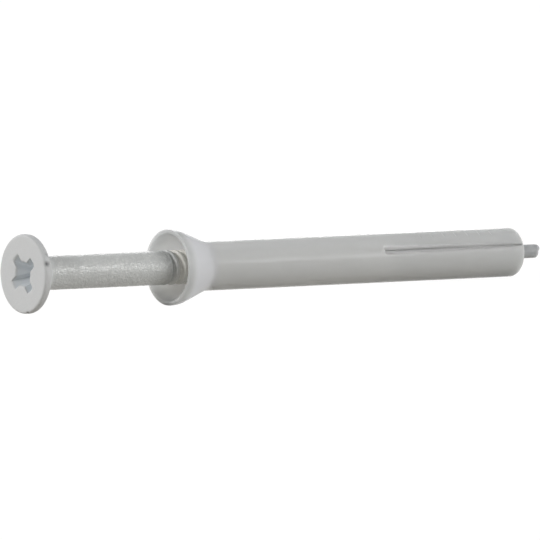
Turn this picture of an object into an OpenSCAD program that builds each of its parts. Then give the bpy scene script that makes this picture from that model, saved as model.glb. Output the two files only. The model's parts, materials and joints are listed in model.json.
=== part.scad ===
// Hammer fixing plug: a moulded sleeve with a funnel collar, and a hammer-in screw started in it.
// Lengths are millimetres and angles degrees. The origin is the middle of the collar's mouth.
// +X runs along the plug's axis, from the screw's head to the tip, and +Z is up.
// Both pieces are drawn along +Z, from the mouth to the tip, and then turned to lie along +X.

/* [Sleeve] */
// Outside diameter of the sleeve, which is the size of its drill
sleeve_d = 8; // [7:0.1:10]
// Length of the sleeve from the collar's mouth to the end face
sleeve_len = 70; // [60:1:120]
// Wall between the end of the bore and the end face
end_wall = 1.6; // [1:0.1:4]
// Rounding of the edge of the end face
end_round = 0.5; // [0.2:0.1:1.5]

/* [Collar] */
// Outside diameter of the collar's rim
collar_d = 12.2; // [10:0.1:16]
// Straight stretch of the rim before the cone
collar_land = 1.2; // [0.4:0.1:3]
// Slope of the cone away from the axis
collar_slope = 21; // [12:1:40]
// Radius of the blend from the cone into the tube
collar_blend = 3; // [0.5:0.5:6]
// Wall of the funnel at the mouth
mouth_wall = 0.6; // [0.3:0.1:1.2]

/* [Slots] */
// Length of the two slots, back from the end face
slot_len = 29; // [15:0.1:45]
// Width of each slot at the outside of the sleeve
slot_mouth_w = 1.2; // [0.6:0.1:2]
// Depth of the flare that opens each slot at the outside
slot_flare_depth = 0.45; // [0.2:0.05:1]
// Gap between the legs where the slots begin
slot_root_gap = 0.25; // [0.15:0.05:1.4]
// Gap between the legs at the end face
slot_tip_gap = 0.2; // [0.15:0.05:1.2]
// Turn of the slots about the axis, up from level
slot_turn = 25; // [0:1:60]
// Thickness of the web that joins the two legs past the bore
tip_web = 2.6; // [1.5:0.1:4]

/* [Grip notches] */
// Number of notches along each leg
notch_count = 7; // [1:1:9]
// Distance from one notch to the next
notch_pitch = 2.45; // [1.5:0.05:2.6]
// Width of a notch at the outside of the sleeve
notch_w = 0.5; // [0.2:0.05:0.9]
// Depth of a notch
notch_depth = 0.1; // [0.05:0.01:0.3]
// Distance of the last notch from the end face
notch_end_gap = 5.8; // [3:0.1:10]
// Angle from the middle of a slot to the nearest end of a notch
notch_from = 26; // [20:1:60]
// Angle that a notch covers
notch_sweep = 24; // [10:1:60]

/* [Gate stub] */
// Diameter of the stub that the moulding gate leaves on the end face
stub_d = 2.25; // [1.7:0.05:4]
// Length of the stub
stub_len = 5; // [1:0.1:8]
// Diameter of the torn nub on the stub
nub_d = 1.3; // [0.8:0.05:1.6]
// Length of the nub past the stub
nub_len = 0.85; // [0.5:0.05:3]
// Offset of the nub from the stub's middle
nub_rise = 0.45; // [0:0.05:0.5]

/* [Screw] */
// Diameter of the head
head_d = 12.65; // [10:0.05:15]
// Thickness of the head's straight edge
head_edge = 1.1; // [0.5:0.1:2]
// Rounding of the edge of the head's face
head_round = 0.4; // [0.1:0.05:0.5]
// Slope of the head's underside away from the axis
head_slope = 52; // [35:1:60]
// Diameter of the plain shank
shank_d = 5.45; // [4.4:0.05:6]
// Height of the thread's crests over the plain shank
thread_rise = 0.05; // [0:0.01:0.2]
// Length from the head's face to the start of the thread
plain_len = 27.5; // [10:0.1:45]
// Length of the point
point_len = 5; // [2:0.1:12]
// Diameter of the point's flat end
point_d = 1.6; // [0.6:0.1:3]
// How far the head's face stands off the collar's mouth before the screw is driven
head_standoff = 28.5; // [12:0.1:40]

/* [Recess] */
// Diameter over the wings of the cross recess at the head's face
recess_d = 6.6; // [4:0.1:7.5]
// Diameter over the wings at the bottom of the wings
recess_floor_d = 3.5; // [2:0.1:4]
// Depth of the wings
recess_depth = 3.2; // [1.5:0.1:4]
// Width of a wing
wing_w = 1.7; // [0.8:0.1:2]
// Diameter of the hollow between the wings at the head's face
core_d = 4; // [2:0.1:4]
// Diameter of that hollow at the bottom of the wings
core_floor_d = 2; // [1:0.1:2]
// Depth of the pointed floor below the wings
floor_depth = 0.6; // [0.2:0.1:1]
// Turn of the wings about the axis, up from level
recess_turn = 39.5; // [0:0.5:89.5]

/* [Fits] */
// Gap around the thread in the bore
thread_clearance = 0.1; // [0.02:0.01:0.2]
// Gap between the head and the collar when the screw is home
seat_clearance = 0.1; // [0.05:0.05:1]
// Gap between the point and the end of the bore when the screw is home
point_clearance = 0.3; // [0.1:0.1:2]

/* [Hidden] */
$fn = 96;
nylon_colour = "#C3C8C6";
zinc_colour = "#C9CBCB";

// Steps along a rounded edge of an outline
arc_steps = 8;
// How far a cutting shape runs past the surface that it cuts
cut_over = 1;

// Sleeve
sleeve_r = sleeve_d / 2;
collar_r = collar_d / 2;
mouth_r = collar_r - mouth_wall;
collar_end = collar_land + (collar_r - sleeve_r) / tan(collar_slope);
blend_middle = collar_end + collar_blend * tan(collar_slope / 2);
// Middle of the rounding of the end face's edge: radius, and length along the axis
end_middle = [sleeve_r - end_round, sleeve_len - end_round];
bore_end = sleeve_len - end_wall;
slot_start = sleeve_len - slot_len;
last_notch = sleeve_len - notch_end_gap;
stub_end = sleeve_len + stub_len;
nub_r = nub_d / 2;
nub_middle = stub_end + nub_len - nub_r;

// Screw, and the bore that it runs in
head_r = head_d / 2;
shank_r = shank_d / 2;
thread_r = shank_r + thread_rise;
bore_r = thread_r + thread_clearance;
point_r = point_d / 2;
bore_tip_r = point_r + thread_clearance;
head_cone_len = (head_r - shank_r) / tan(head_slope);
// Where the back of the head's edge stands when the head's cone meets the funnel
seat_at_rim = (mouth_r - head_r) / tan(head_slope);
seat_in_funnel = (mouth_r - head_r) * collar_end / (mouth_r - bore_r);
seat = head_r > mouth_r ? seat_at_rim : seat_in_funnel;
home_standoff = head_edge - seat + seat_clearance;
screw_len = home_standoff + bore_end - point_clearance;

// Points on an arc about a middle, from one angle to another
function arc(middle, r, from, to) =
    [for (i = [0:arc_steps]) let (a = from + (to - from) * i / arc_steps) middle + r * [cos(a), sin(a)]];

// Turns a piece that is drawn along +Z to lie along +X, with its own +Y up
module along_x() {
    rotate([90, 0, 90])
        children();
}

// The sleeve without its slots: collar, blend, tube and rounded end outside, funnel and bore inside
module sleeve_blank() {
    rotate_extrude()
        polygon(concat(
            [[mouth_r, 0], [collar_r, 0], [collar_r, collar_land]],
            arc([sleeve_r + collar_blend, blend_middle], collar_blend, 180 + collar_slope, 180),
            arc(end_middle, end_round, 0, 90),
            [[0, sleeve_len], [0, bore_end], [bore_tip_r, bore_end]],
            [[bore_r, bore_end - point_len], [bore_r, collar_end]]
        ));
}

// One slot towards +X: a slit that closes from its root to the end face, under a shallow flare outside
module slot_cut() {
    outer_r = sleeve_r + cut_over;
    flare_r = sleeve_r - slot_flare_depth;
    // The flare's long edges lie on the outside of the sleeve, at half the slot's width from its middle
    edge_x = sqrt(pow(sleeve_r, 2) - pow(slot_mouth_w / 2, 2));
    half_flare = slot_mouth_w / 2 * (outer_r - flare_r) / (edge_x - flare_r);
    closing = (slot_tip_gap - slot_root_gap) / slot_len;
    half_root = slot_root_gap / 2;
    half_end = (slot_tip_gap + closing * cut_over) / 2;
    past_end = sleeve_len + cut_over;
    translate([0, 0, slot_start])
        linear_extrude(past_end - slot_start)
            polygon([[flare_r, 0], [outer_r, -half_flare], [outer_r, half_flare]]);
    translate([tip_web / 2, 0, 0])
        rotate([90, 0, 90])
            linear_extrude(outer_r - tip_web / 2)
                polygon([
                    [-half_root, slot_start], [half_root, slot_start],
                    [half_end, past_end], [-half_end, past_end]
                ]);
}

// Shallow notches across one leg, beside the slot that lies towards -X
module leg_notches() {
    reach = cut_over * notch_depth;
    half_w = notch_w / 2 * (notch_depth + reach) / notch_depth;
    for (i = [0:notch_count - 1])
        translate([0, 0, last_notch - i * notch_pitch])
            rotate(180 - notch_from - notch_sweep)
                rotate_extrude(angle = notch_sweep)
                    polygon([
                        [sleeve_r - notch_depth, 0],
                        [sleeve_r + reach, -half_w], [sleeve_r + reach, half_w]
                    ]);
}

// The stub that the gate leaves on the end face, with the nub where it was torn off
module gate_stub() {
    translate([0, 0, sleeve_len - end_wall / 2])
        cylinder(d = stub_d, h = stub_len + end_wall / 2);
    translate([0, nub_rise, stub_end - nub_r]) {
        cylinder(r = nub_r, h = nub_middle - stub_end + nub_r);
        translate([0, 0, nub_middle - stub_end + nub_r])
            sphere(r = nub_r);
    }
}

module plug_sleeve() {
    color(nylon_colour)
        along_x() {
            difference() {
                sleeve_blank();
                rotate(-slot_turn)
                    for (side = [0, 180])
                        rotate(side) {
                            slot_cut();
                            leg_notches();
                        }
            }
            gate_stub();
        }
}

// Cross recess, cut down from the head's face
module cross_recess() {
    intersection() {
        cylinder(d1 = recess_d, d2 = recess_floor_d, h = recess_depth);
        for (side = [0, 90])
            rotate(side - recess_turn)
                translate([-recess_d / 2, -wing_w / 2, 0])
                    cube([recess_d, wing_w, recess_depth]);
    }
    cylinder(d1 = core_d, d2 = core_floor_d, h = recess_depth);
    translate([0, 0, recess_depth])
        cylinder(d1 = core_floor_d, d2 = 0, h = floor_depth);
}

// Head, shank, threaded stretch at its crests, and point
module screw_blank() {
    rotate_extrude()
        polygon(concat(
            [[0, 0]],
            arc([head_r - head_round, head_round], head_round, -90, 0),
            [[head_r, head_edge], [shank_r, head_edge + head_cone_len], [shank_r, plain_len]],
            [[thread_r, plain_len + thread_rise], [thread_r, screw_len - point_len]],
            [[point_r, screw_len], [0, screw_len]]
        ));
}

module hammer_screw() {
    color(zinc_colour)
        along_x()
            translate([0, 0, -head_standoff])
                difference() {
                    screw_blank();
                    cross_recess();
                }
}

plug_sleeve();
hammer_screw();
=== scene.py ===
"""Looks of a hammer fixing plug: a moulded nylon sleeve and the galvanised hammer screw started in it.

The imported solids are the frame. Each piece here is a surface worked out as whole arrays: points from
formulas on a grid, joined into one closed skin. Lengths are metres. The plug's axis is +X, from the screw's
head to the tip, with 0 at the collar's mouth. Angles about the axis start at +Y and grow towards +Z.
"""

import json
import math

import bmesh
import bpy
import numpy as np
from bpy.props import FloatProperty, FloatVectorProperty, PointerProperty
from mathutils import Matrix, Vector


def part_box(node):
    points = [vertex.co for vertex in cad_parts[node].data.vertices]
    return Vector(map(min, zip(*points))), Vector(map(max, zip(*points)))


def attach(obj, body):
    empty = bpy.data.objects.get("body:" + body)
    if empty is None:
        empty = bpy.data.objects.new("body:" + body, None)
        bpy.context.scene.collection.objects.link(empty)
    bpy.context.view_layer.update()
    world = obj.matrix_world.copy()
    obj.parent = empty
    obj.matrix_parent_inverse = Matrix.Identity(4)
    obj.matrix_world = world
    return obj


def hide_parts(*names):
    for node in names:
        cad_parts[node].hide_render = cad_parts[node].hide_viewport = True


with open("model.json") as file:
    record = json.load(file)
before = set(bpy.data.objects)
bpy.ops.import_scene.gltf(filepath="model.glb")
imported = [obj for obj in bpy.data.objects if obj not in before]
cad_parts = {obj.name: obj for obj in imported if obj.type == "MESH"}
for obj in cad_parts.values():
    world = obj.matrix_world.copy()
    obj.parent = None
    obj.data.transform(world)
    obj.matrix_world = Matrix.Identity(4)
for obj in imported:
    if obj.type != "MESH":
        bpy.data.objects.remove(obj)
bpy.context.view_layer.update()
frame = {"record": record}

bl_info = {
    "name": "Hammer Fixing Plug",
    "version": (1, 0, 0),
    "blender": (4, 5, 0),
    "location": "3D View > Sidebar > Fixing",
    "description": "Builds the sleeve and the screw of a hammer fixing plug, with a plain studio",
    "category": "Object",
}

MM = 0.001
MOUNTS = {mount["name"]: mount for mount in frame["record"]["mounts"]}
SLEEVE_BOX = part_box("plug_sleeve")
SCREW_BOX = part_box("hammer_screw")
# Points closer than this are one point of a skin
WELD = 1e-7
# Edges that bend by more than this stay crisp
CRISP = math.radians(32)
# Places of a mix node's sockets, for colours and for plain numbers
MIX_A, MIX_B, MIX_RESULT = 6, 7, 2
NUMBER_A, NUMBER_B, NUMBER_RESULT = 2, 3, 0

# Grip notches along each leg
NOTCH_COUNT = 7
# Angle over which a notch runs out at each of its ends
NOTCH_FADE = math.radians(8)
# Part of the collar's land that the rounding of its rim takes
RIM_SOFTNESS = 0.75
# Part of a slot's width that the rounding of its root's corners takes
ROOT_NARROWING = 0.45
# How deep the skin dips along a slot's long edges, and how far from them, in roundings of the edge
EDGE_DIP = 0.35
EDGE_REACH = 1.9
# How much a full chip takes off the radius of the head's edge
KNOCK_DEPTH = 0.16 * MM
# Chips on the head's edge: degrees about the axis, length from the face, size and strength
CHIPS = (
    (160, 0.5 * MM, 0.36 * MM, 1.1),
    (146, 0.8 * MM, 0.3 * MM, 0.4),
    (256, 0.1 * MM, 0.26 * MM, 1.0),
)

# Whole numbers that scatter a lattice corner's place and the seed over all bits, and the largest result
PLACE_FACTORS = np.array([73856093, 19349663, 83492791])
SEED_FACTOR = 26544357
STIRS = ((13, 1274126177), (15, 668265263))
ALL_BITS = 0x7FFFFFFF


def linear(code):
    """An sRGB hex colour as three linear numbers."""
    srgb = np.array([int(code[i:i + 2], 16) for i in (1, 3, 5)]) / 255
    return tuple(np.where(srgb <= 0.04045, srgb / 12.92, ((srgb + 0.055) / 1.055) ** 2.4))


def length(name, description, default):
    """A size that a user may change, in metres."""
    return FloatProperty(
        name=name, description=description, default=default, min=0, precision=6, unit="LENGTH"
    )


def turn(name, description, degrees):
    """An angle that a user may change, given in degrees."""
    return FloatProperty(name=name, description=description, default=math.radians(degrees), unit="ROTATION")


def share(name, description, default):
    """A plain number that a user may change."""
    return FloatProperty(name=name, description=description, default=default, min=0)


def colour(name, description, code):
    """A colour that a user may change, given as an sRGB hex code."""
    return FloatVectorProperty(
        name=name, description=description, default=linear(code), size=3, min=0, max=1, subtype="COLOR"
    )


class SleeveSettings(bpy.types.PropertyGroup):
    """Sizes and colours of the sleeve."""

    tube_radius: length("Tube radius", "Outside of the tube", MOUNTS["drilled_hole"]["dims"]["r_mm"] * MM)
    tube_end: length("Tube end", "Mouth to end face", 70 * MM)
    end_round: length("End rounding", "Rounding of the end face's edge", 0.5 * MM)
    collar_radius: length("Collar radius", "Outside of the collar's rim", SLEEVE_BOX[1].y)
    collar_land: length("Collar land", "Straight stretch of the rim", 1.2 * MM)
    collar_slope: turn("Collar slope", "Cone's slope away from the axis", 21)
    collar_blend: length("Collar blend", "Radius between cone and tube", 3 * MM)
    mouth_wall: length("Mouth wall", "Wall of the funnel at the mouth", 0.6 * MM)
    lip_round: length("Lip rounding", "Rounding of the mouth's two edges", 0.12 * MM)
    bore_radius: length("Bore radius", "Bore of the sleeve", 2.875 * MM)
    bore_end: length("Bore end", "Mouth to the floor of the bore", 68.4 * MM)
    bore_point: length("Bore point", "Length of the bore's pointed end", 5 * MM)
    bore_tip: length("Bore tip radius", "Radius of the bore's floor", 0.9 * MM)
    slot_turn: turn("Slot turn", "Slots about the axis", 155)
    slot_root: length("Slot root", "Mouth to the start of the slots", 41 * MM)
    slot_mouth: length("Slot mouth", "Width of a slot at the outside, at its root", 1.9 * MM)
    slot_mouth_tip: length("Slot mouth at the tip", "That width at the end face", 0.6 * MM)
    slot_flare: length("Slot flare", "Depth of the flare that opens a slot, at its root", 0.35 * MM)
    slot_root_gap: length("Root gap", "Slit at the start of a slot", 0.03 * MM)
    slot_tip_gap: length("Tip gap", "Slit at the end face", 0.05 * MM)
    slot_corner: length("Slot corner", "Rounding of the slot's root corners", 0.45 * MM)
    slot_edge: length("Slot edge", "Rounding of the slot's long edges", 0.16 * MM)
    core_radius: length("Core radius", "Core that joins the legs past the bore", 1.3 * MM)
    notch_last: length("Last notch", "Mouth to the last grip notch", 64.2 * MM)
    notch_pitch: length("Notch pitch", "From one grip notch to the next", 2.45 * MM)
    notch_width: length("Notch width", "Width of a grip notch", 0.5 * MM)
    notch_depth: length("Notch depth", "Depth of a grip notch", 0.1 * MM)
    notch_from: turn("Notch from", "Where a notch starts, back from the slot", 26)
    notch_sweep: turn("Notch sweep", "Angle that a notch covers", 24)
    stub_radius: length("Stub radius", "Stub that the moulding gate leaves", 1.125 * MM)
    stub_end: length("Stub end", "Mouth to the stub's shoulder", 75 * MM)
    nub_radius: length("Nub radius", "Torn nub on the stub", 0.65 * MM)
    nub_end: length("Nub end", "Mouth to the end of the nub", SLEEVE_BOX[1].x)
    nub_rise: length("Nub rise", "Nub's offset from the axis", 0.45 * MM)
    nylon: colour("Nylon", "Natural nylon", "#D9DBDA")
    nylon_cloudy: colour("Cloudy nylon", "Milkier patches in the nylon", "#DEE0DF")
    # Painted light: a bluish tint that stands for daylight coming through the cone
    nylon_painted_daylight: colour("Cool nylon", "Bluer skin of the collar, where daylight comes through", "#D8DAE1")
    # Painted light: a near-white that lifts the shade in bore, funnel and slots and paints the notches
    # light
    nylon_painted_light: colour("Inside nylon", "Milkier skin of bore, funnel, slots and notches", "#F9FAFA")
    # Painted shade: a grey laid on the mouth's lip, the legs, the tip and the torn gate stub
    nylon_painted_shade: colour("Dull nylon", "Duller skin of the torn gate stub and of the mouth's lip", "#919396")


class ScrewSettings(bpy.types.PropertyGroup):
    """Sizes and colours of the screw."""

    face: FloatProperty(
        name="Face", description="Head's face, along the axis",
        default=SCREW_BOX[0].x, precision=6, unit="LENGTH",
    )
    head_radius: length("Head radius", "Outside of the head", min(SCREW_BOX[1].yz))
    head_round: length("Head rounding", "Rounding of the face's edge", 0.4 * MM)
    head_edge: length("Head edge", "Face to the back of the head's edge", 1.1 * MM)
    head_slope: turn("Head slope", "Slope of the head's underside away from the axis", 52)
    shank_radius: length("Shank radius", "Plain shank", 2.725 * MM)
    neck_round: length("Neck rounding", "Length of the blend from head to shank", 0.35 * MM)
    plain_length: length("Plain length", "Face to the start of the thread", 27.5 * MM)
    crest_radius: length("Crest radius", "Thread's crests", 2.775 * MM)
    thread_depth: length("Thread depth", "Crest to root", 0.38 * MM)
    thread_pitch: length("Thread pitch", "From one crest to the next", 1.55 * MM)
    point_length: length("Point length", "Length of the point", 5 * MM)
    point_radius: length("Point radius", "Blunt end of the point", 0.8 * MM)
    recess_radius: length("Recess radius", "Over the wings at the face", 3.3 * MM)
    recess_floor: length("Recess floor radius", "Over the wings at their bottom", 1.75 * MM)
    recess_depth: length("Recess depth", "Depth of the wings", 3.2 * MM)
    recess_edge: length("Recess edge", "Rounding of the recess's edge", 0.24 * MM)
    wing_width: length("Wing width", "Width of a wing", 1.7 * MM)
    core_radius: length("Core radius", "Hollow between the wings at the face", 2.0 * MM)
    core_floor: length("Core floor radius", "That hollow at the bottom of the wings", 1.0 * MM)
    floor_depth: length("Floor depth", "Pointed floor below the wings", 0.6 * MM)
    recess_turn: turn("Recess turn", "Wings about the axis", 50.5)
    bead_height: length("Bead height", "Beads of zinc on the shank", 0.045 * MM)
    zinc: colour("Zinc", "Dull zinc of the shank", "#C9CBCA")
    # Brighter grains: partly the zinc's own grain, partly painted glints
    zinc_grain_and_glint: colour("Bright zinc", "Brighter grains on the shank", "#E9EAE8")
    zinc_head: colour("Head zinc", "Smooth zinc of the head", "#CFD0D1")
    # Bluish zinc of the recess, also painted lighter than the shank's zinc to lift the recess's shade
    zinc_recess_and_painted_light: colour("Recess zinc", "Bluish zinc that pools in the recess", "#DBDFE2")
    zinc_thread: colour("Thread zinc", "Creamy zinc that fills the thread", "#E6E4DE")
    zinc_worn: colour("Worn zinc", "Chips in the zinc", "#2E3133")


class StudioSettings(bpy.types.PropertyGroup):
    """Camera, floor and lamps."""

    rest_lean: turn("Rest lean", "Plug's lean on its rim and far end", 1.766)
    rest_height: length("Rest height", "Mouth's middle above the floor", 6.134 * MM)
    view_azimuth: turn("View azimuth", "Camera round the plug", -36.8906)
    view_elevation: turn("View elevation", "Camera above the floor", 6.4224)
    view_distance: length("View distance", "Camera to the plug", 1571.85 * MM)
    view_lens: FloatProperty(name="Lens", description="Focal length in mm on a 36 mm sensor", default=648.6)
    aim_along: length("Aim along", "Point of the axis that the framing is set from", 23.3 * MM)
    aim_left: length("Aim left", "Picture's middle, left of that point", 2.2215 * MM)
    aim_down: length("Aim down", "Picture's middle, below that point", 1.2424 * MM)
    surround: share("Surround", "Strength of the soft light from all round", 0.2)
    front: share("Front", "Power of the softbox in front of the plug, in watts", 2.6)
    top: share("Top", "Power of the softbox before the head's face, in watts", 1.53)
    back: share("Back", "Power of the white card behind the head, in watts", 6.0)
    far: share("Far", "Power of the white card behind the tube, in watts", 6.4)
    paper: colour("Paper", "Floor", "#BAB6AE")
    shade: share("Shade", "How much of the shadow the floor keeps", 0.16)
    glow: share("Glow", "Strength that makes the rest of the floor white", 1.16)


def rounded_min(a, b, size):
    """The smaller of two values, with the corner between them rounded over about that size."""
    return (a + b - np.sqrt((a - b) ** 2 + size ** 2)) / 2


def rounded_max(a, b, size):
    """The larger of two values, with the corner between them rounded over about that size."""
    return (a + b + np.sqrt((a - b) ** 2 + size ** 2)) / 2


def eased(low, high, value):
    """0 below low, 1 above high, and the cubic 3t^2 - 2t^3 between them."""
    t = np.clip((value - low) / (high - low), 0, 1)
    return t * t * (3 - 2 * t)


def fillet(start, corner, end, steps):
    """Points on the parabola that leaves start towards corner and reaches end, as rows of two numbers."""
    t = np.linspace(0, 1, steps)[:, None]
    return (1 - t) ** 2 * np.array(start) + 2 * t * (1 - t) * np.array(corner) + t ** 2 * np.array(end)


def lattice_noise(points, cell, seed):
    """Soft noise from -1 to 1: fixed random heights at the corners of a lattice of that cell, eased between
    them."""
    scaled = points / cell
    corner = np.floor(scaled).astype(np.int64)
    part = eased(0, 1, scaled - corner)
    total = np.zeros(points.shape[:-1])
    for step in np.ndindex(2, 2, 2):
        scattered = (corner + np.array(step)) * PLACE_FACTORS
        mixed = np.bitwise_xor.reduce(scattered, axis=-1) ^ seed * SEED_FACTOR
        for shift, factor in STIRS:
            mixed = (mixed ^ (mixed >> shift)) * factor & ALL_BITS
        total += mixed / ALL_BITS * np.where(step, part, 1 - part).prod(axis=-1)
    return total * 2 - 1


def round_axis(along, radius, angle, rise=0.0):
    """Points at a length along the axis, a radius and an angle from it, with the rings' middles lifted by
    rise."""
    along, radius, angle, rise = np.broadcast_arrays(along, radius, angle, rise)
    return np.stack([along, radius * np.cos(angle), radius * np.sin(angle) + rise], axis=-1)


def joined_skin(patches):
    """Points, quads and triangles of grids of points that meet: points that coincide become one, and a quad
    with a side of no length becomes a triangle."""
    points = np.concatenate([patch.reshape(-1, 3) for patch in patches])
    sizes = [patch.shape[0] * patch.shape[1] for patch in patches]
    starts = np.concatenate([[0], np.cumsum(sizes)[:-1]])
    quads = []
    for start, size, patch in zip(starts, sizes, patches):
        index = start + np.arange(size).reshape(patch.shape[:2])
        corners = [index[:-1, :-1], index[:-1, 1:], index[1:, 1:], index[1:, :-1]]
        quads.append(np.stack(corners, axis=-1).reshape(-1, 4))
    keys = np.round(points / WELD).astype(np.int64)
    _, first, same = np.unique(keys, axis=0, return_index=True, return_inverse=True)
    quads = same.reshape(-1)[np.concatenate(quads)]
    flat = quads == np.roll(quads, -1, axis=1)
    whole = quads[flat.sum(axis=1) == 0]
    single = flat.sum(axis=1) == 1
    keep = ~flat[single]
    triangles = quads[single][keep].reshape(-1, 3)
    return points[first], whole, triangles


def skin_object(name, patches, material, attributes):
    """A closed piece from grids of points: joined, faces turned outwards, smooth but for its crisp edges.
    Each attribute is a function from the points to one number a point."""
    points, quads, triangles = joined_skin(patches)
    mesh = bpy.data.meshes.new(name)
    mesh.from_pydata(points, [], quads.tolist() + triangles.tolist())
    work = bmesh.new()
    work.from_mesh(mesh)
    loose = [edge for edge in work.edges if not edge.is_manifold]
    if loose:
        raise RuntimeError(f"{name} is not closed: {len(loose)} open edges")
    bmesh.ops.recalc_face_normals(work, faces=work.faces)
    work.to_mesh(mesh)
    work.free()
    mesh.shade_smooth()
    mesh.set_sharp_from_angle(angle=CRISP)
    for key, rule in attributes.items():
        values = rule(points).astype(np.float32)
        mesh.attributes.new(key, "FLOAT", "POINT").data.foreach_set("value", values)
    mesh.materials.append(material)
    piece = bpy.data.objects.new(name, mesh)
    bpy.context.scene.collection.objects.link(piece)
    return piece


def add(tree, kind, inputs=None, **settings):
    """A new node with its settings; each input is a value, or the output of another node to link from."""
    node = tree.nodes.new(kind)
    for key, value in settings.items():
        setattr(node, key, value)
    for socket, value in (inputs or {}).items():
        if isinstance(value, bpy.types.NodeSocket):
            tree.links.new(value, node.inputs[socket])
        else:
            node.inputs[socket].default_value = value
    return node


def bare_material(name):
    """An empty node material and its tree."""
    material = bpy.data.materials.new(name)
    material.use_nodes = True
    material.node_tree.nodes.clear()
    return material, material.node_tree


def per_metre(size_mm):
    """Texture scale for features of that size in millimetres."""
    return 1 / (size_mm * MM)


def natural_nylon(settings):
    """Natural nylon 6, injection moulded: a milky plastic that lets light several millimetres in, so thin
    walls glow and shadows are soft. The mould leaves a silky skin with a faint sheen and flow clouds.
    Painted light: a bluish tint on the cone stands for daylight coming through it, and a near-white inside
    lifts the shade of bore, funnel and slots and paints the notches as light strokes. Painted shade darkens
    the lip, the legs towards their end, the tip and the torn stub."""
    material, tree = bare_material("moulded_natural_nylon")
    place = add(tree, "ShaderNodeTexCoord").outputs["Object"]
    cloud = add(
        tree, "ShaderNodeTexNoise",
        {"Vector": place, "Scale": per_metre(7), "Detail": 3.0, "Roughness": 0.5},
    )
    clouded = add(
        tree, "ShaderNodeMix",
        {0: cloud.outputs["Fac"], MIX_A: (*settings.nylon, 1), MIX_B: (*settings.nylon_cloudy, 1)},
        data_type="RGBA",
    )
    grain = add(tree, "ShaderNodeTexNoise", {"Vector": place, "Scale": per_metre(0.5), "Detail": 2.0})
    gloss = add(
        tree, "ShaderNodeMapRange", {"Value": grain.outputs["Fac"], "To Min": 0.18, "To Max": 0.26}
    )
    skin = add(
        tree, "ShaderNodeBump", {"Height": grain.outputs["Fac"], "Strength": 0.12, "Distance": 0.02 * MM}
    )
    skin_colour = clouded.outputs[MIX_RESULT]
    # Painted light and shade over the nylon: a bluish daylight tint on the cone, a near-white that lifts
    # the shade inside, and a grey that paints shade on lip, legs, tip and stub
    for key, tint in (
        ("painted_daylight", settings.nylon_painted_daylight), ("inside", settings.nylon_painted_light), ("dull", settings.nylon_painted_shade)
    ):
        where = add(tree, "ShaderNodeAttribute", attribute_name=key).outputs["Fac"]
        tinted = add(
            tree, "ShaderNodeMix", {0: where, MIX_A: skin_colour, MIX_B: (*tint, 1)}, data_type="RGBA"
        )
        skin_colour = tinted.outputs[MIX_RESULT]
    shader = add(
        tree, "ShaderNodeBsdfPrincipled",
        {
            "Base Color": skin_colour,
            "Roughness": gloss.outputs["Result"],
            "IOR": 1.53,
            "Specular IOR Level": 0.06,
            "Subsurface Weight": 1.0,
            "Subsurface Radius": (1.0, 1.0, 1.0),
            "Subsurface Scale": 5.0 * MM,
            "Normal": skin.outputs["Normal"],
        },
    )
    add(tree, "ShaderNodeOutputMaterial", {"Surface": shader.outputs["BSDF"]})
    return material


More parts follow.
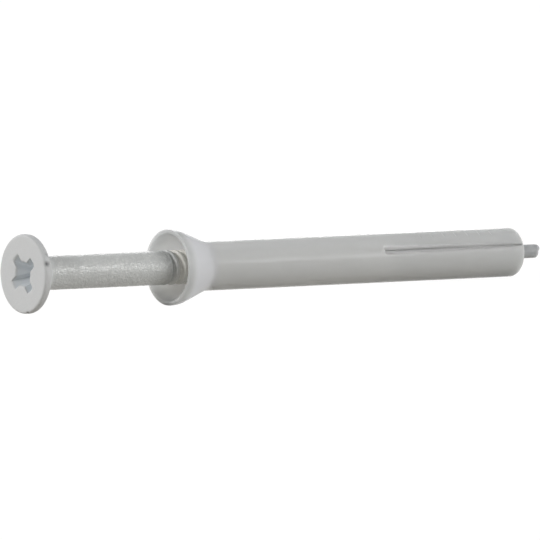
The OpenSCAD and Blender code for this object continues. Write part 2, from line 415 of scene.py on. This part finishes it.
def galvanised_zinc(settings):
    """Hot-dip galvanised steel: light grey zinc, so matt from its oxide that it hardly looks metallic. The
    dip leaves beads and fine grains on the shank, which sparkle where they face a lamp, a smoother head,
    bluish zinc in the recess and creamy zinc in the thread. The brighter grains in the colour are partly
    painted glints, and the recess's bluish zinc is also painted lighter to lift its shade. Chips show
    darker metal."""
    material, tree = bare_material("hot_dip_galvanised_zinc")
    place = add(tree, "ShaderNodeTexCoord").outputs["Object"]
    beaded = add(tree, "ShaderNodeAttribute", attribute_name="beaded").outputs["Fac"]
    grains = add(
        tree, "ShaderNodeTexNoise",
        {"Vector": place, "Scale": per_metre(0.45), "Detail": 4.0, "Roughness": 0.6},
    )
    patches = add(tree, "ShaderNodeTexNoise", {"Vector": place, "Scale": per_metre(2.2), "Detail": 2.0})
    # Brighter grains laid in the colour: partly the zinc's grain, partly painted glints
    speckle = add(
        tree, "ShaderNodeMapRange",
        {"Value": grains.outputs["Fac"], "From Min": 0.42, "From Max": 0.68},
    )
    spread = add(
        tree, "ShaderNodeMath",
        {0: speckle.outputs["Result"], 1: patches.outputs["Fac"]}, operation="MULTIPLY",
    )
    mottled = add(
        tree, "ShaderNodeMix",
        {0: spread.outputs["Value"], MIX_A: (*settings.zinc, 1), MIX_B: (*settings.zinc_grain_and_glint, 1)},
        data_type="RGBA",
    )
    smoothed = add(
        tree, "ShaderNodeMix",
        {0: beaded, MIX_A: (*settings.zinc_head, 1), MIX_B: mottled.outputs[MIX_RESULT]},
        data_type="RGBA",
    )
    zinc_colour = smoothed.outputs[MIX_RESULT]
    # Creamy zinc in the thread, the recess's bluish zinc painted lighter to lift its shade, and dark chips
    for key, tint in (
        ("threaded", settings.zinc_thread), ("recess_and_painted_light", settings.zinc_recess_and_painted_light), ("worn", settings.zinc_worn)
    ):
        where = add(tree, "ShaderNodeAttribute", attribute_name=key).outputs["Fac"]
        tinted = add(
            tree, "ShaderNodeMix", {0: where, MIX_A: zinc_colour, MIX_B: (*tint, 1)}, data_type="RGBA"
        )
        zinc_colour = tinted.outputs[MIX_RESULT]
    gloss = add(
        tree, "ShaderNodeMapRange", {"Value": grains.outputs["Fac"], "To Min": 0.38, "To Max": 0.12}
    )
    dull = add(
        tree, "ShaderNodeMix",
        {0: beaded, NUMBER_A: 0.6, NUMBER_B: gloss.outputs["Result"]}, data_type="FLOAT",
    )
    rise = add(
        tree, "ShaderNodeMapRange", {"Value": beaded, "To Min": 0.08, "To Max": 1.0}
    )
    flakes = add(tree, "ShaderNodeTexNoise", {"Vector": place, "Scale": per_metre(0.3), "Detail": 1.0})
    skin = add(
        tree, "ShaderNodeBump",
        {"Height": flakes.outputs["Fac"], "Strength": rise.outputs["Result"], "Distance": 0.12 * MM},
    )
    shader = add(
        tree, "ShaderNodeBsdfPrincipled",
        {
            "Base Color": zinc_colour,
            "Metallic": 0.05,
            "Specular IOR Level": 0.12,
            "Roughness": dull.outputs[NUMBER_RESULT],
            "Normal": skin.outputs["Normal"],
        },
    )
    add(tree, "ShaderNodeOutputMaterial", {"Surface": shader.outputs["BSDF"]})
    return material


def seen_directly(tree):
    """1 for rays from the camera, also through glass or by a mirror, and 0 for rays that light the plug."""
    path = add(tree, "ShaderNodeLightPath")
    clear = add(
        tree, "ShaderNodeMath",
        {0: path.outputs["Is Camera Ray"], 1: path.outputs["Is Transmission Ray"]}, operation="MAXIMUM",
    )
    seen = add(
        tree, "ShaderNodeMath",
        {0: clear.outputs["Value"], 1: path.outputs["Is Glossy Ray"]}, operation="MAXIMUM",
    )
    return seen.outputs["Value"]


class FIXING_OT_sleeve(bpy.types.Operator):
    """Build the nylon sleeve: collar, tube, legs, grip notches and gate stub as one closed skin"""

    bl_idname = "fixing.build_sleeve"
    bl_label = "Build Sleeve"

    def execute(self, context):
        settings = context.scene.fixing_sleeve
        piece = skin_object(
            "nylon_sleeve", sleeve_patches(settings), natural_nylon(settings),
            {
                # Attributes that place painted light and painted shade on the sleeve's skin
                "painted_daylight": lambda points: painted_daylight_share(settings, points),
                "inside": lambda points: painted_light_share(settings, points),
                "dull": lambda points: painted_shade_share(settings, points),
            },
        )
        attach(piece, "sleeve")
        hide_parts("plug_sleeve")
        return {"FINISHED"}


class FIXING_OT_screw(bpy.types.Operator):
    """Build the hammer screw: recessed head, beaded shank, thread and point as one closed skin"""

    bl_idname = "fixing.build_screw"
    bl_label = "Build Screw"

    def execute(self, context):
        settings = context.scene.fixing_screw
        piece = skin_object(
            "zinc_screw", [screw_skin(settings)], galvanised_zinc(settings),
            {
                "beaded": lambda points: beaded_share(settings, points),
                "threaded": lambda points: threaded_share(settings, points),
                # Recess: bluish zinc, painted lighter against its shade
                "recess_and_painted_light": lambda points: recess_and_painted_light_share(settings, points),
                "worn": lambda points: chip_share(settings, points),
            },
        )
        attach(piece, "screw")
        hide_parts("hammer_screw")
        return {"FINISHED"}


class FIXING_OT_studio(bpy.types.Operator):
    """Build the studio: pale floor, soft lamps, white surround and the camera"""

    bl_idname = "fixing.build_studio"
    bl_label = "Build Studio"

    def execute(self, context):
        settings = context.scene.fixing_studio
        lean = Matrix.Rotation(-settings.rest_lean, 3, "Y")
        build_floor(settings, lean)
        build_surround(settings)
        build_lamps(settings, lean)
        build_camera(settings, lean)
        context.scene.view_settings.view_transform = "Standard"
        return {"FINISHED"}


def straight(along, radius):
    """Rows of a length and a radius that is the same for all."""
    return np.stack([along, np.full(len(along), radius)], axis=1)


def fanned(columns, along, radius, spread, rise=0.0):
    """Rows of points at lengths and radii. A column's angle is its first number plus its second times
    spread, which is the slot's half angle in that row."""
    along, radius, spread, rise = (
        np.broadcast_to(value, np.shape(along))[:, None] for value in (along, radius, spread, rise)
    )
    return round_axis(along, radius, columns[0] + columns[1] * spread, rise)


def cone_end(s):
    """Where the collar's cone reaches the tube's radius, along the axis."""
    return s.collar_land + (s.collar_radius - s.tube_radius) / math.tan(s.collar_slope)


def core_start(s):
    """Where the bore's pointed end narrows to the core that joins the legs, along the axis."""
    return s.bore_end - s.bore_point * (s.core_radius - s.bore_tip) / (s.bore_radius - s.bore_tip)


def slot_width(s, along, at_root, at_tip):
    """A width of a slot that changes evenly from its root to the end face."""
    done = np.clip((along - s.slot_root) / (s.tube_end - s.slot_root), 0, 1)
    return at_root + (at_tip - at_root) * done


def slot_half_angle(s, along, radius):
    """Half the angle of a slot: the wider of the fine slit and the shallow flare outside it, narrowed along
    a quarter circle at the slot's root, which rounds its corners."""
    slit = slot_width(s, along, s.slot_root_gap, s.slot_tip_gap) / 2
    mouth = slot_width(s, along, s.slot_mouth, s.slot_mouth_tip)
    flare = mouth / 2 - (s.tube_radius - radius) * s.slot_mouth / (2 * s.slot_flare)
    left = 1 - np.clip((along - s.slot_root) / s.slot_corner, 0, 1)
    corner = 1 - ROOT_NARROWING * (1 - np.sqrt(1 - left ** 2))
    return np.arcsin(np.maximum(slit, flare) * corner / radius)


def sleeve_patches(s):
    """Grids of the sleeve's skin. Every grid takes its angles from the slots: a leg's columns run from one
    slot's edge to the next, a slot's columns between its own two edges, so that all grids meet along the
    edges."""
    half_turn = math.pi * s.tube_radius
    # Places of a leg's columns, as parts of the half turn from one slot's middle to the next
    edge_steps = np.array([0, 0.25, 0.55, 1.0, EDGE_REACH]) * s.slot_edge / half_turn
    notch_ends = 1 - (s.notch_from + np.array([0, s.notch_sweep])) / math.pi
    beside_end = np.array([-0.012, -0.007, 0, 0.007, 0.012])
    leg = np.unique(np.concatenate([
        edge_steps,
        np.linspace(edge_steps[-1], 1 - edge_steps[-1], 60),
        (notch_ends[:, None] + beside_end).ravel(),
        1 - edge_steps,
    ]))
    gap = np.linspace(-1, 1, 9)
    middles = (s.slot_turn, s.slot_turn + math.pi)
    slots = [np.stack([middle + 0 * gap, gap]) for middle in middles]
    legs = [np.stack([middle + math.pi * leg, 1 - 2 * leg]) for middle in middles]
    ring = np.concatenate([slots[0], legs[0][:, 1:], slots[1][:, 1:], legs[1][:, 1:]], axis=1)
    patches = [body_patch(s, ring)]
    for leg_columns, slot_columns in zip(legs, slots):
        patches += leg_patches(s, leg_columns, slot_columns)
    return patches + [bore_floor_patch(s, ring), stub_patch(s, ring)]


def body_profile(s):
    """Rows of a length and a radius: outside from the slots' root back to the collar, round the lip, and in
    through funnel and bore to the slots' root. An arc blends cone and tube, and parabolas round rim and
    lip."""
    bend = np.linspace(0, s.collar_slope, 9)
    blend_middle = cone_end(s) + s.collar_blend * math.tan(s.collar_slope / 2)
    blend = np.stack([
        blend_middle - s.collar_blend * np.sin(bend), s.tube_radius + s.collar_blend * (1 - np.cos(bend))
    ], axis=1)
    lip = s.lip_round
    rim = np.array([s.collar_land, s.collar_radius])
    rim_turn = RIM_SOFTNESS * s.collar_land
    after_rim = rim + rim_turn * np.array([math.cos(s.collar_slope), -math.sin(s.collar_slope)])
    mouth = np.array([0, s.collar_radius - s.mouth_wall])
    bore_start = np.array([cone_end(s), s.bore_radius])
    in_funnel = mouth + lip * (bore_start - mouth) / np.linalg.norm(bore_start - mouth)
    return np.concatenate([
        straight(np.linspace(s.slot_root, blend_middle, 34)[:-1], s.tube_radius),
        blend,
        np.linspace(blend[-1], after_rim, 7)[1:-1],
        fillet(after_rim, rim, rim - (rim_turn, 0), 6),
        fillet((lip, s.collar_radius), (0, s.collar_radius), (0, s.collar_radius - lip), 5),
        fillet(mouth + (0, lip), mouth, in_funnel, 5),
        np.linspace(in_funnel, bore_start, 14)[1:],
        straight(np.linspace(cone_end(s), s.slot_root, 24)[1:], s.bore_radius),
    ])


def body_patch(s, ring):
    """Collar, plain tube, funnel and plain bore: the profile turned about the axis. The columns stand as at
    the slots' root, outside up to the lip and inside past it, so that they meet the legs at both ends."""
    profile = body_profile(s)
    outer = slot_half_angle(s, s.slot_root, s.tube_radius)
    inner = slot_half_angle(s, s.slot_root, s.bore_radius)
    past_lip = np.arange(len(profile)) > np.argmax(profile[:, 0] <= 0)
    inwards = eased(s.collar_radius, s.collar_radius - s.mouth_wall, profile[:, 1])
    spread = outer + (inner - outer) * np.where(past_lip, inwards, 0)
    return fanned(ring, profile[:, 0], profile[:, 1], spread)


def leg_rows(s, notches):
    """Lengths of the rows along the legs: fine at the root's corners, across each notch and round the
    end."""
    corner = s.slot_corner * np.array([0, 0.08, 0.2, 0.4, 0.65, 1.0])
    across = s.notch_width * np.array([-0.75, -0.5, -0.25, -0.08, 0.08, 0.25, 0.5, 0.75])
    end_turn = np.linspace(0, math.pi / 2, 9)
    rows = np.sort(np.concatenate([
        s.slot_root + corner,
        np.linspace(s.slot_root + s.slot_corner, notches[-1] - s.notch_width, 14),
        (notches[:, None] + across).ravel(),
        notches[:-1] - s.notch_pitch / 2,
        [s.bore_end - s.bore_point, core_start(s)],
        np.linspace(notches[0] + s.notch_width, s.tube_end - s.end_round, 6)[1:],
        s.tube_end - s.end_round * (1 - np.sin(end_turn)),
    ]))
    return rows[np.append(True, np.diff(rows) > WELD)]


def slot_wall(s, rows, edge_radius, inside):
    """Radii down a slot's wall in each row, from its edge at the outside to its edge at the bore, with a
    kink where the flare meets the slit."""
    least_flare = 0.05 * MM
    least_slit = 0.1 * MM
    slit = np.sin(slot_half_angle(s, rows, s.core_radius)) * s.core_radius
    mouth = slot_width(s, rows, s.slot_mouth, s.slot_mouth_tip)
    kink = s.tube_radius - (mouth / 2 - slit) * 2 * s.slot_flare / s.slot_mouth
    kink = np.clip(kink, inside + least_slit, edge_radius - least_flare)
    down = np.linspace(0, 1, 6)
    return np.concatenate([
        edge_radius[:, None] + (kink - edge_radius)[:, None] * down,
        kink[:, None] + (inside - kink)[:, None] * down[1:],
    ], axis=1)


def leg_patches(s, leg, slot):
    """One leg's outside with its notches, its end face and its bore, and one slot's two walls, root and
    floor. The radius is the tube's, less a quarter circle at the end, a dip along the slot's long edges,
    which rounds them, and a V across each notch."""
    notches = s.notch_last - s.notch_pitch * np.arange(NOTCH_COUNT)
    rows = leg_rows(s, notches)
    in_core = rows >= core_start(s)
    in_bore = rows <= core_start(s)
    beyond = np.clip((rows - s.tube_end + s.end_round) / s.end_round, 0, 1)
    outside = s.tube_radius - s.end_round * (1 - np.sqrt(1 - beyond ** 2))
    pointed = np.clip((rows - s.bore_end + s.bore_point) / s.bore_point, 0, 1)
    inside = np.where(in_core, s.core_radius, s.bore_radius + (s.bore_tip - s.bore_radius) * pointed)
    dip = EDGE_DIP * s.slot_edge * eased(s.slot_root, s.slot_root + s.slot_corner, rows)
    edge_radius = outside - dip
    wall_radius = slot_wall(s, rows, edge_radius, inside)
    wall_spread = slot_half_angle(s, rows[:, None], wall_radius)

    angle = leg[0] + leg[1] * slot_half_angle(s, rows, edge_radius)[:, None]
    to_edge = (1 - np.abs(leg[1])) / 2 * math.pi * s.tube_radius
    dipped = np.clip(1 - to_edge / (EDGE_REACH * s.slot_edge), 0, 1) ** 2
    middle = slot[0, 0]
    back = math.pi - (angle - middle)
    window = eased(0, NOTCH_FADE, back - s.notch_from)
    window = window * eased(0, NOTCH_FADE, s.notch_from + s.notch_sweep - back)
    near = np.abs(rows[:, None] - notches).min(axis=1)
    groove = np.clip(1 - near / (s.notch_width / 2), 0, 1)
    radius = outside[:, None] - dip[:, None] * dipped - s.notch_depth * groove[:, None] * window

    face_part = (wall_radius[-1] - edge_radius[-1]) / (s.core_radius - edge_radius[-1])
    face_radius = radius[-1] + face_part[:, None] * (s.core_radius - radius[-1])
    face_angle = leg[0] + leg[1] * wall_spread[-1][:, None]
    bore_spread = slot_half_angle(s, rows[in_bore], inside[in_bore])
    core_spread = slot_half_angle(s, rows[in_core], s.core_radius)
    root = np.full(wall_radius.shape[1], s.slot_root)
    return [
        round_axis(rows[:, None], radius, angle),
        round_axis(s.tube_end, face_radius, face_angle),
        fanned(leg, rows[in_bore], inside[in_bore], bore_spread),
        round_axis(rows[:, None], wall_radius, middle - wall_spread),
        round_axis(rows[:, None], wall_radius, middle + wall_spread),
        fanned(slot, root, wall_radius[0], wall_spread[0]),
        fanned(slot, rows[in_core], s.core_radius, core_spread),
    ]


def bore_floor_patch(s, ring):
    """The last of the bore's pointed end, inside the core, and the bore's flat floor, which closes on the
    axis."""
    start = core_start(s)
    along = np.array([start, s.bore_end, s.bore_end, s.bore_end])
    radius = np.array([s.core_radius, s.bore_tip, s.bore_tip / 2, 0])
    return fanned(ring, along, radius, slot_half_angle(s, start, s.core_radius))


def stub_patch(s, ring):
    """The end face's core, the gate stub and its torn nub, in rows of a length, a radius and a rise off the
    axis: a rod with a fillet at its root and a rounded shoulder, then a short neck, and half a ball on its
    own axis."""
    root = 0.15 * MM
    shoulder = 0.06 * MM
    rod_end = s.stub_end - shoulder
    # Height over the shoulder, radius past the nub's, and part of the nub's rise
    necks = ((0.02 * MM, 0.12 * MM, 0.55), (0.05 * MM, -0.03 * MM, 0.95))
    on_axis = np.concatenate([
        [[s.tube_end, s.core_radius]],
        fillet(
            (s.tube_end, s.stub_radius + root), (s.tube_end, s.stub_radius),
            (s.tube_end + root, s.stub_radius), 5,
        ),
        straight(np.linspace(s.tube_end + root, rod_end, 10)[1:], s.stub_radius),
        fillet(
            (rod_end, s.stub_radius), (s.stub_end, s.stub_radius),
            (s.stub_end, s.stub_radius - shoulder), 4,
        )[1:],
    ])
    neck = [[s.stub_end + up, s.nub_radius + wider, part * s.nub_rise] for up, wider, part in necks]
    dome = np.linspace(0, math.pi / 2, 9)
    ball = np.stack([
        s.nub_end - s.nub_radius * (1 - np.sin(dome)),
        s.nub_radius * np.cos(dome),
        np.full(len(dome), s.nub_rise),
    ], axis=1)
    ball[-1, 1] = 0
    rows = np.concatenate([np.pad(on_axis, ((0, 0), (0, 1))), neck, ball])
    return fanned(ring, rows[:, 0], rows[:, 1], slot_half_angle(s, s.tube_end, s.core_radius), rows[:, 2])


def depth_below(s, points):
    """How far points lie below the outside of the sleeve: the collar's rim, its cone or the tube."""
    cone = s.collar_radius - (points[..., 0] - s.collar_land) * math.tan(s.collar_slope)
    return np.clip(cone, s.tube_radius, s.collar_radius) - np.hypot(points[..., 1], points[..., 2])


def painted_daylight_share(s, points):
    """Painted daylight: 1 on the outside of the collar's cone, falling to 0 at the rim and over the blend
    into the tube.
    """
    along = points[..., 0]
    past_rim = s.collar_land + 1 * MM
    fade = 1.5 * MM
    cone = eased(0, past_rim, along) * eased(cone_end(s) + fade, cone_end(s) - fade, along)
    return cone * eased(0.6 * MM, 0.3 * MM, depth_below(s, points))


def painted_light_share(s, points):
    """Painted light that lifts the shade inside: 0 on the outside of the sleeve and 1 from 0.1 mm below it.
    Grows from nothing at the mouth to the end of the funnel, ends before the end face, and is fainter in
    the notches the nearer they are to the slots' root; in the notches it paints light strokes."""
    along = points[..., 0]
    depth = depth_below(s, points)
    ends = eased(0, 6 * MM, along) * eased(s.tube_end - 0.2 * MM, s.tube_end - 1.2 * MM, along)
    middle_notch = s.notch_last - (NOTCH_COUNT - 1) / 2 * s.notch_pitch
    notched = np.abs(along - middle_notch) < NOTCH_COUNT / 2 * s.notch_pitch
    in_notch = notched & (depth < s.notch_depth + 0.02 * MM)
    faint = np.where(in_notch, eased(s.slot_root + 4 * MM, s.tube_end - 8 * MM, along), 1)
    return eased(0.02 * MM, 0.1 * MM, depth) * ends * faint


def painted_shade_share(s, points):
    """Painted shade: on the mouth's lip, a little on the legs, more towards their end, and most on the gate
    stub and its torn nub."""
    along = points[..., 0]
    lip = 0.55 * eased(2.2 * MM, 0, along)
    legs = 0.14 * eased(s.slot_root - 1 * MM, s.slot_root + 5 * MM, along)
    tip = 0.2 * eased(s.tube_end - 8 * MM, s.tube_end - 1 * MM, along)
    stub = 0.44 * eased(s.tube_end + 0.05 * MM, s.tube_end + 0.6 * MM, along)
    nub = 0.36 * eased(s.stub_end - 0.8 * MM, s.stub_end, along)
    return lip + legs + tip + stub + nub


def screw_stations(s):
    """Lengths from the face to the neck under the head, to the end of the full thread and to the point's
    end."""
    neck = s.head_edge + (s.head_radius - s.shank_radius) / math.tan(s.head_slope)
    screw_end = SCREW_BOX[1].x - s.face
    return neck, screw_end - s.point_length, screw_end


def recess_rows(s, angle):
    """Pairs of depths below the face and radii, all round: from the middle of the recess's pointed floor up
    its walls, over its rounded edge and across the face. The recess is a polar outline: wings of one width,
    cut off by a cone, around the cone of the core."""
    quarter = math.pi / 2
    from_wing = np.abs((angle - s.recess_turn + quarter / 2) % quarter - quarter / 2)
    corner = 0.12 * MM
    wing_taper = 0.12
    # Keeps a wing's side finite on the wing's own middle line
    least_sine = 0.03

    def outline(depth):
        """Radius of the recess at depths below the face, all round."""
        done = np.asarray(depth)[:, None] / s.recess_depth
        tip = s.recess_radius + (s.recess_floor - s.recess_radius) * done
        core = s.core_radius + (s.core_floor - s.core_radius) * done
        side = s.wing_width / 2 * (1 - wing_taper * done) / np.maximum(np.sin(from_wing), least_sine)
        return rounded_max(core, rounded_min(tip, side, corner), corner)

    floor_radius = np.linspace(0, 1, 8)[:, None] * outline([s.recess_depth])
    floor_along = s.recess_depth + s.floor_depth * np.maximum(0, 1 - floor_radius / s.core_floor)
    wall_depth = np.linspace(s.recess_depth, s.recess_edge, 14)[1:]
    edge = np.linspace(0, math.pi / 2, 6)[1:]
    edge_depth = s.recess_edge * (1 - np.sin(edge))
    edge_radius = outline(edge_depth) + s.recess_edge * (1 - np.cos(edge))[:, None]
    face_part = np.linspace(0, 1, 10)[1:, None]
    face_radius = edge_radius[-1] + (s.head_radius - s.head_round - edge_radius[-1]) * face_part
    return [
        (floor_along, floor_radius),
        (wall_depth[:, None], outline(wall_depth)),
        (edge_depth[:, None], edge_radius),
        (np.zeros_like(face_part), face_radius),
    ]


def turned_profile(s):
    """Rows of a length from the face and a radius: the head's rounded edge and its cone, the blend at the
    neck, the shank, the thread's crests, and the point, which closes on the axis."""
    neck, thread_end, screw_end = screw_stations(s)
    soft = 0.2 * MM
    rim_turn = np.linspace(0, math.pi / 2, 8)[1:]
    rim = np.stack([
        s.head_round * (1 - np.cos(rim_turn)), s.head_radius - s.head_round * (1 - np.sin(rim_turn))
    ], axis=1)
    # Along the head's underside, towards the shank
    under = np.array([math.cos(s.head_slope), -math.sin(s.head_slope)])
    back_edge = np.array([s.head_edge, s.head_radius])
    neck_edge = np.array([neck, s.shank_radius])
    point_edge = (screw_end - soft, s.point_radius + 0.4 * soft)
    point = np.linspace((thread_end, s.crest_radius), point_edge, 14)[1:]
    return np.concatenate([
        rim,
        fillet((s.head_edge - soft, s.head_radius), back_edge, back_edge + soft * under, 5),
        np.linspace(back_edge + soft * under, neck_edge - s.neck_round * under, 12)[1:-1],
        fillet(neck_edge - s.neck_round * under, neck_edge, (neck + s.neck_round, s.shank_radius), 7),
        straight(np.linspace(neck + s.neck_round, s.plain_length - 0.1 * MM, 120)[1:], s.shank_radius),
        straight(np.linspace(s.plain_length, thread_end, 236), s.crest_radius),
        point,
        fillet(point[-1], (screw_end, s.point_radius), (screw_end, s.point_radius - soft), 5)[1:],
        [[screw_end, s.point_radius / 2], [screw_end, 0]],
    ])


def thread_cut(s, along, angle):
    """Depth of a right-hand helix below its crests: steep on the flank towards the head, easy on the flank
    towards the point, growing over the thread's first stretch and fading along the point."""
    _, thread_end, _ = screw_stations(s)
    phase = ((along - s.plain_length) / s.thread_pitch - angle / (2 * math.pi)) % 1
    ridge = eased(0, 0.16, phase) * (1 - eased(0.34, 0.86, phase))
    cut = eased(s.plain_length, s.plain_length + 0.5 * MM, along)
    cut = cut * (1 - eased(thread_end, thread_end + 0.5 * s.point_length, along))
    return s.thread_depth * (1 - ridge) * cut


def zinc_beads(s, along, radius, angle):
    """Height of the beads of zinc: two sizes of soft lumps, on the shank and weaker on the thread."""
    neck, thread_end, screw_end = screw_stations(s)
    points = round_axis(along + s.face, radius, angle)
    lumps = 0.65 * lattice_noise(points, 0.62 * MM, 3) + 0.35 * lattice_noise(points, 0.3 * MM, 11)
    on_thread = eased(s.plain_length, s.plain_length + 1 * MM, along)
    strength = eased(neck, neck + 1.5 * MM, along) * (1 - 0.6 * on_thread)
    return s.bead_height * lumps * strength * (1 - eased(thread_end, screw_end, along))


def screw_skin(s):
    """One grid from the middle of the recess's floor to the middle of the point: the recess and the face,
    then a turned profile with the thread cut into it, beads of zinc laid on it and knocks taken off the
    head's edge."""
    around = np.linspace(0, 2 * math.pi, 193)
    # Columns stand closer together at the two sides of each of the four wings
    sides = 8
    crowding = 0.5
    first_side = s.recess_turn + math.pi / sides
    angle = around - crowding * np.sin(sides * (around - first_side)) / sides
    profile = turned_profile(s)
    along = profile[:, :1]
    radius = profile[:, 1:] - thread_cut(s, along, angle)
    radius = radius + zinc_beads(s, along, radius, angle)
    radius = radius - KNOCK_DEPTH * chip_share(s, round_axis(along + s.face, radius, angle))
    rows = recess_rows(s, angle) + [(along, radius)]
    return np.concatenate([round_axis(lengths + s.face, radii, angle) for lengths, radii in rows])


def beaded_share(s, points):
    """A little on the head, 1 on the shank and thread."""
    on_head = 0.12
    return on_head + (1 - on_head) * eased(s.head_edge, s.head_edge + 4 * MM, points[..., 0] - s.face)


def threaded_share(s, points):
    """0 on the head and the plain shank, 1 on the thread."""
    start = s.face + s.plain_length
    return eased(start + 0.6 * MM, start + 2 * MM, points[..., 0])


def recess_and_painted_light_share(s, points):
    """0 on the head's face and 1 in the recess from 0.5 mm below it, told by depth and radius alone: bluish
    zinc there, painted lighter to lift the recess's shade.
    """
    depth = points[..., 0] - s.face
    in_wings = np.hypot(points[..., 1], points[..., 2]) < s.recess_radius
    in_recess = in_wings & (depth < s.recess_depth + s.floor_depth)
    return eased(0.02 * MM, 0.5 * MM, depth) * in_recess


def chip_share(s, points):
    """Chips on the head's edge: a Gaussian hump of distance from each chip's middle, cut off at 1."""
    total = np.zeros(points.shape[:-1])
    for degrees, along, size, weight in CHIPS:
        middle = round_axis(s.face + along, s.head_radius, math.radians(degrees))
        total += weight * np.exp(-((points - middle) ** 2).sum(axis=-1) / size ** 2)
    return np.clip(total, 0, 1)


def build_floor(settings, lean):
    """A flat floor under the collar's rim and the sleeve's end, leaning with them, of matt pale paper."""
    reach = 6.0
    side = np.linspace(-reach, reach, 25)
    across, along = np.meshgrid(side, side)
    flat = np.stack([along, across, np.full(along.shape, -settings.rest_height)], axis=-1)
    points, quads, _ = joined_skin([flat @ np.array(lean).T])
    mesh = bpy.data.meshes.new("floor")
    mesh.from_pydata(points, [], quads.tolist())
    material, tree = bare_material("matt_pale_paper")
    plain = add(tree, "ShaderNodeBsdfDiffuse", {"Color": (*settings.paper, 1)})
    white = add(tree, "ShaderNodeEmission", {"Color": (1, 1, 1, 1), "Strength": settings.glow})
    seen = seen_directly(tree)
    kept = add(tree, "ShaderNodeMath", {0: seen, 1: 1 - settings.shade}, operation="MULTIPLY")
    mixed = add(
        tree, "ShaderNodeMixShader",
        {"Fac": kept.outputs["Value"], 1: plain.outputs["BSDF"], 2: white.outputs["Emission"]},
    )
    add(tree, "ShaderNodeOutputMaterial", {"Surface": mixed.outputs["Shader"]})
    mesh.materials.append(material)
    floor = bpy.data.objects.new("floor", mesh)
    bpy.context.scene.collection.objects.link(floor)


def build_surround(settings):
    """Soft light from all round, seen as plain white by the camera and by what is glossy or clear."""
    world = bpy.data.worlds.new("soft_surround")
    world.use_nodes = True
    tree = world.node_tree
    tree.nodes.clear()
    soft = add(tree, "ShaderNodeBackground", {"Color": (1, 1, 1, 1), "Strength": settings.surround})
    white = add(tree, "ShaderNodeBackground", {"Color": (1, 1, 1, 1), "Strength": 1.0})
    mixed = add(
        tree, "ShaderNodeMixShader",
        {"Fac": seen_directly(tree), 1: soft.outputs["Background"], 2: white.outputs["Background"]},
    )
    add(tree, "ShaderNodeOutputWorld", {"Surface": mixed.outputs["Shader"]})
    bpy.context.scene.world = world


def build_lamps(settings, lean):
    """A long softbox in front of the tube, a small one before the head's face, and two wide white cards,
    behind the head and behind the tube."""
    # Name, direction from the collar's mouth, distance and size in metres, and power
    boxes = (
        ("front_softbox", (0.60, -0.745, 0.26), 0.7, (0.45, 0.12), settings.front),
        ("top_softbox", (-0.89, -0.10, 0.42), 0.7, (0.12, 0.12), settings.top),
        ("back_card", (-0.66, 0.72, 0.22), 1.0, (1.0, 1.0), settings.back),
        ("far_card", (0.25, 0.95, 0.15), 1.0, (1.0, 1.0), settings.far),
    )
    for name, towards, distance, size, power in boxes:
        lamp = bpy.data.lights.new(name, "AREA")
        lamp.shape = "RECTANGLE"
        lamp.size, lamp.size_y = size
        lamp.energy = power
        box = bpy.data.objects.new(name, lamp)
        away = lean @ Vector(towards).normalized()
        facing = away.to_track_quat("Z", "Y").to_matrix().to_4x4()
        box.matrix_world = Matrix.Translation(away * distance) @ facing
        bpy.context.scene.collection.objects.link(box)


def build_camera(settings, lean):
    """The camera at the photograph's angle, level with the floor that the plug lies on."""
    azimuth, elevation = settings.view_azimuth, settings.view_elevation
    right = lean @ Vector((math.cos(azimuth), math.sin(azimuth), 0))
    level = math.cos(elevation)
    back = lean @ Vector((math.sin(azimuth) * level, -math.cos(azimuth) * level, math.sin(elevation)))
    up = back.cross(right)
    aim = Vector((settings.aim_along, 0, 0)) - right * settings.aim_left - up * settings.aim_down
    lens = bpy.data.cameras.new("camera")
    lens.sensor_width = 36
    lens.lens = settings.view_lens
    lens.clip_start = 0.05
    lens.clip_end = 50
    camera = bpy.data.objects.new("camera", lens)
    turned = Matrix((right, up, back)).transposed().to_4x4()
    camera.matrix_world = Matrix.Translation(aim + back * settings.view_distance) @ turned
    bpy.context.scene.collection.objects.link(camera)
    bpy.context.scene.camera = camera


class FIXING_PT_panel(bpy.types.Panel):
    """Buttons that build the pieces and the studio, each with its settings"""

    bl_idname = "FIXING_PT_panel"
    bl_label = "Hammer Fixing Plug"
    bl_space_type = "VIEW_3D"
    bl_region_type = "UI"
    bl_category = "Fixing"

    def draw(self, context):
        for operator, settings in (
            (FIXING_OT_sleeve, context.scene.fixing_sleeve),
            (FIXING_OT_screw, context.scene.fixing_screw),
            (FIXING_OT_studio, context.scene.fixing_studio),
        ):
            box = self.layout.box()
            box.operator(operator.bl_idname)
            for key in settings.__annotations__:
                box.prop(settings, key)


CLASSES = (
    SleeveSettings, ScrewSettings, StudioSettings,
    FIXING_OT_sleeve, FIXING_OT_screw, FIXING_OT_studio, FIXING_PT_panel,
)


def register():
    """Makes the settings, operators and panel known."""
    for kind in CLASSES:
        bpy.utils.register_class(kind)
    bpy.types.Scene.fixing_sleeve = PointerProperty(type=SleeveSettings)
    bpy.types.Scene.fixing_screw = PointerProperty(type=ScrewSettings)
    bpy.types.Scene.fixing_studio = PointerProperty(type=StudioSettings)


def unregister():
    """Takes the settings, operators and panel away again."""
    del bpy.types.Scene.fixing_studio
    del bpy.types.Scene.fixing_screw
    del bpy.types.Scene.fixing_sleeve
    for kind in reversed(CLASSES):
        bpy.utils.unregister_class(kind)


def main():
    """Builds everything."""
    register()
    bpy.ops.fixing.build_sleeve()
    bpy.ops.fixing.build_screw()
    bpy.ops.fixing.build_studio()


if __name__ == "__main__":
    main()
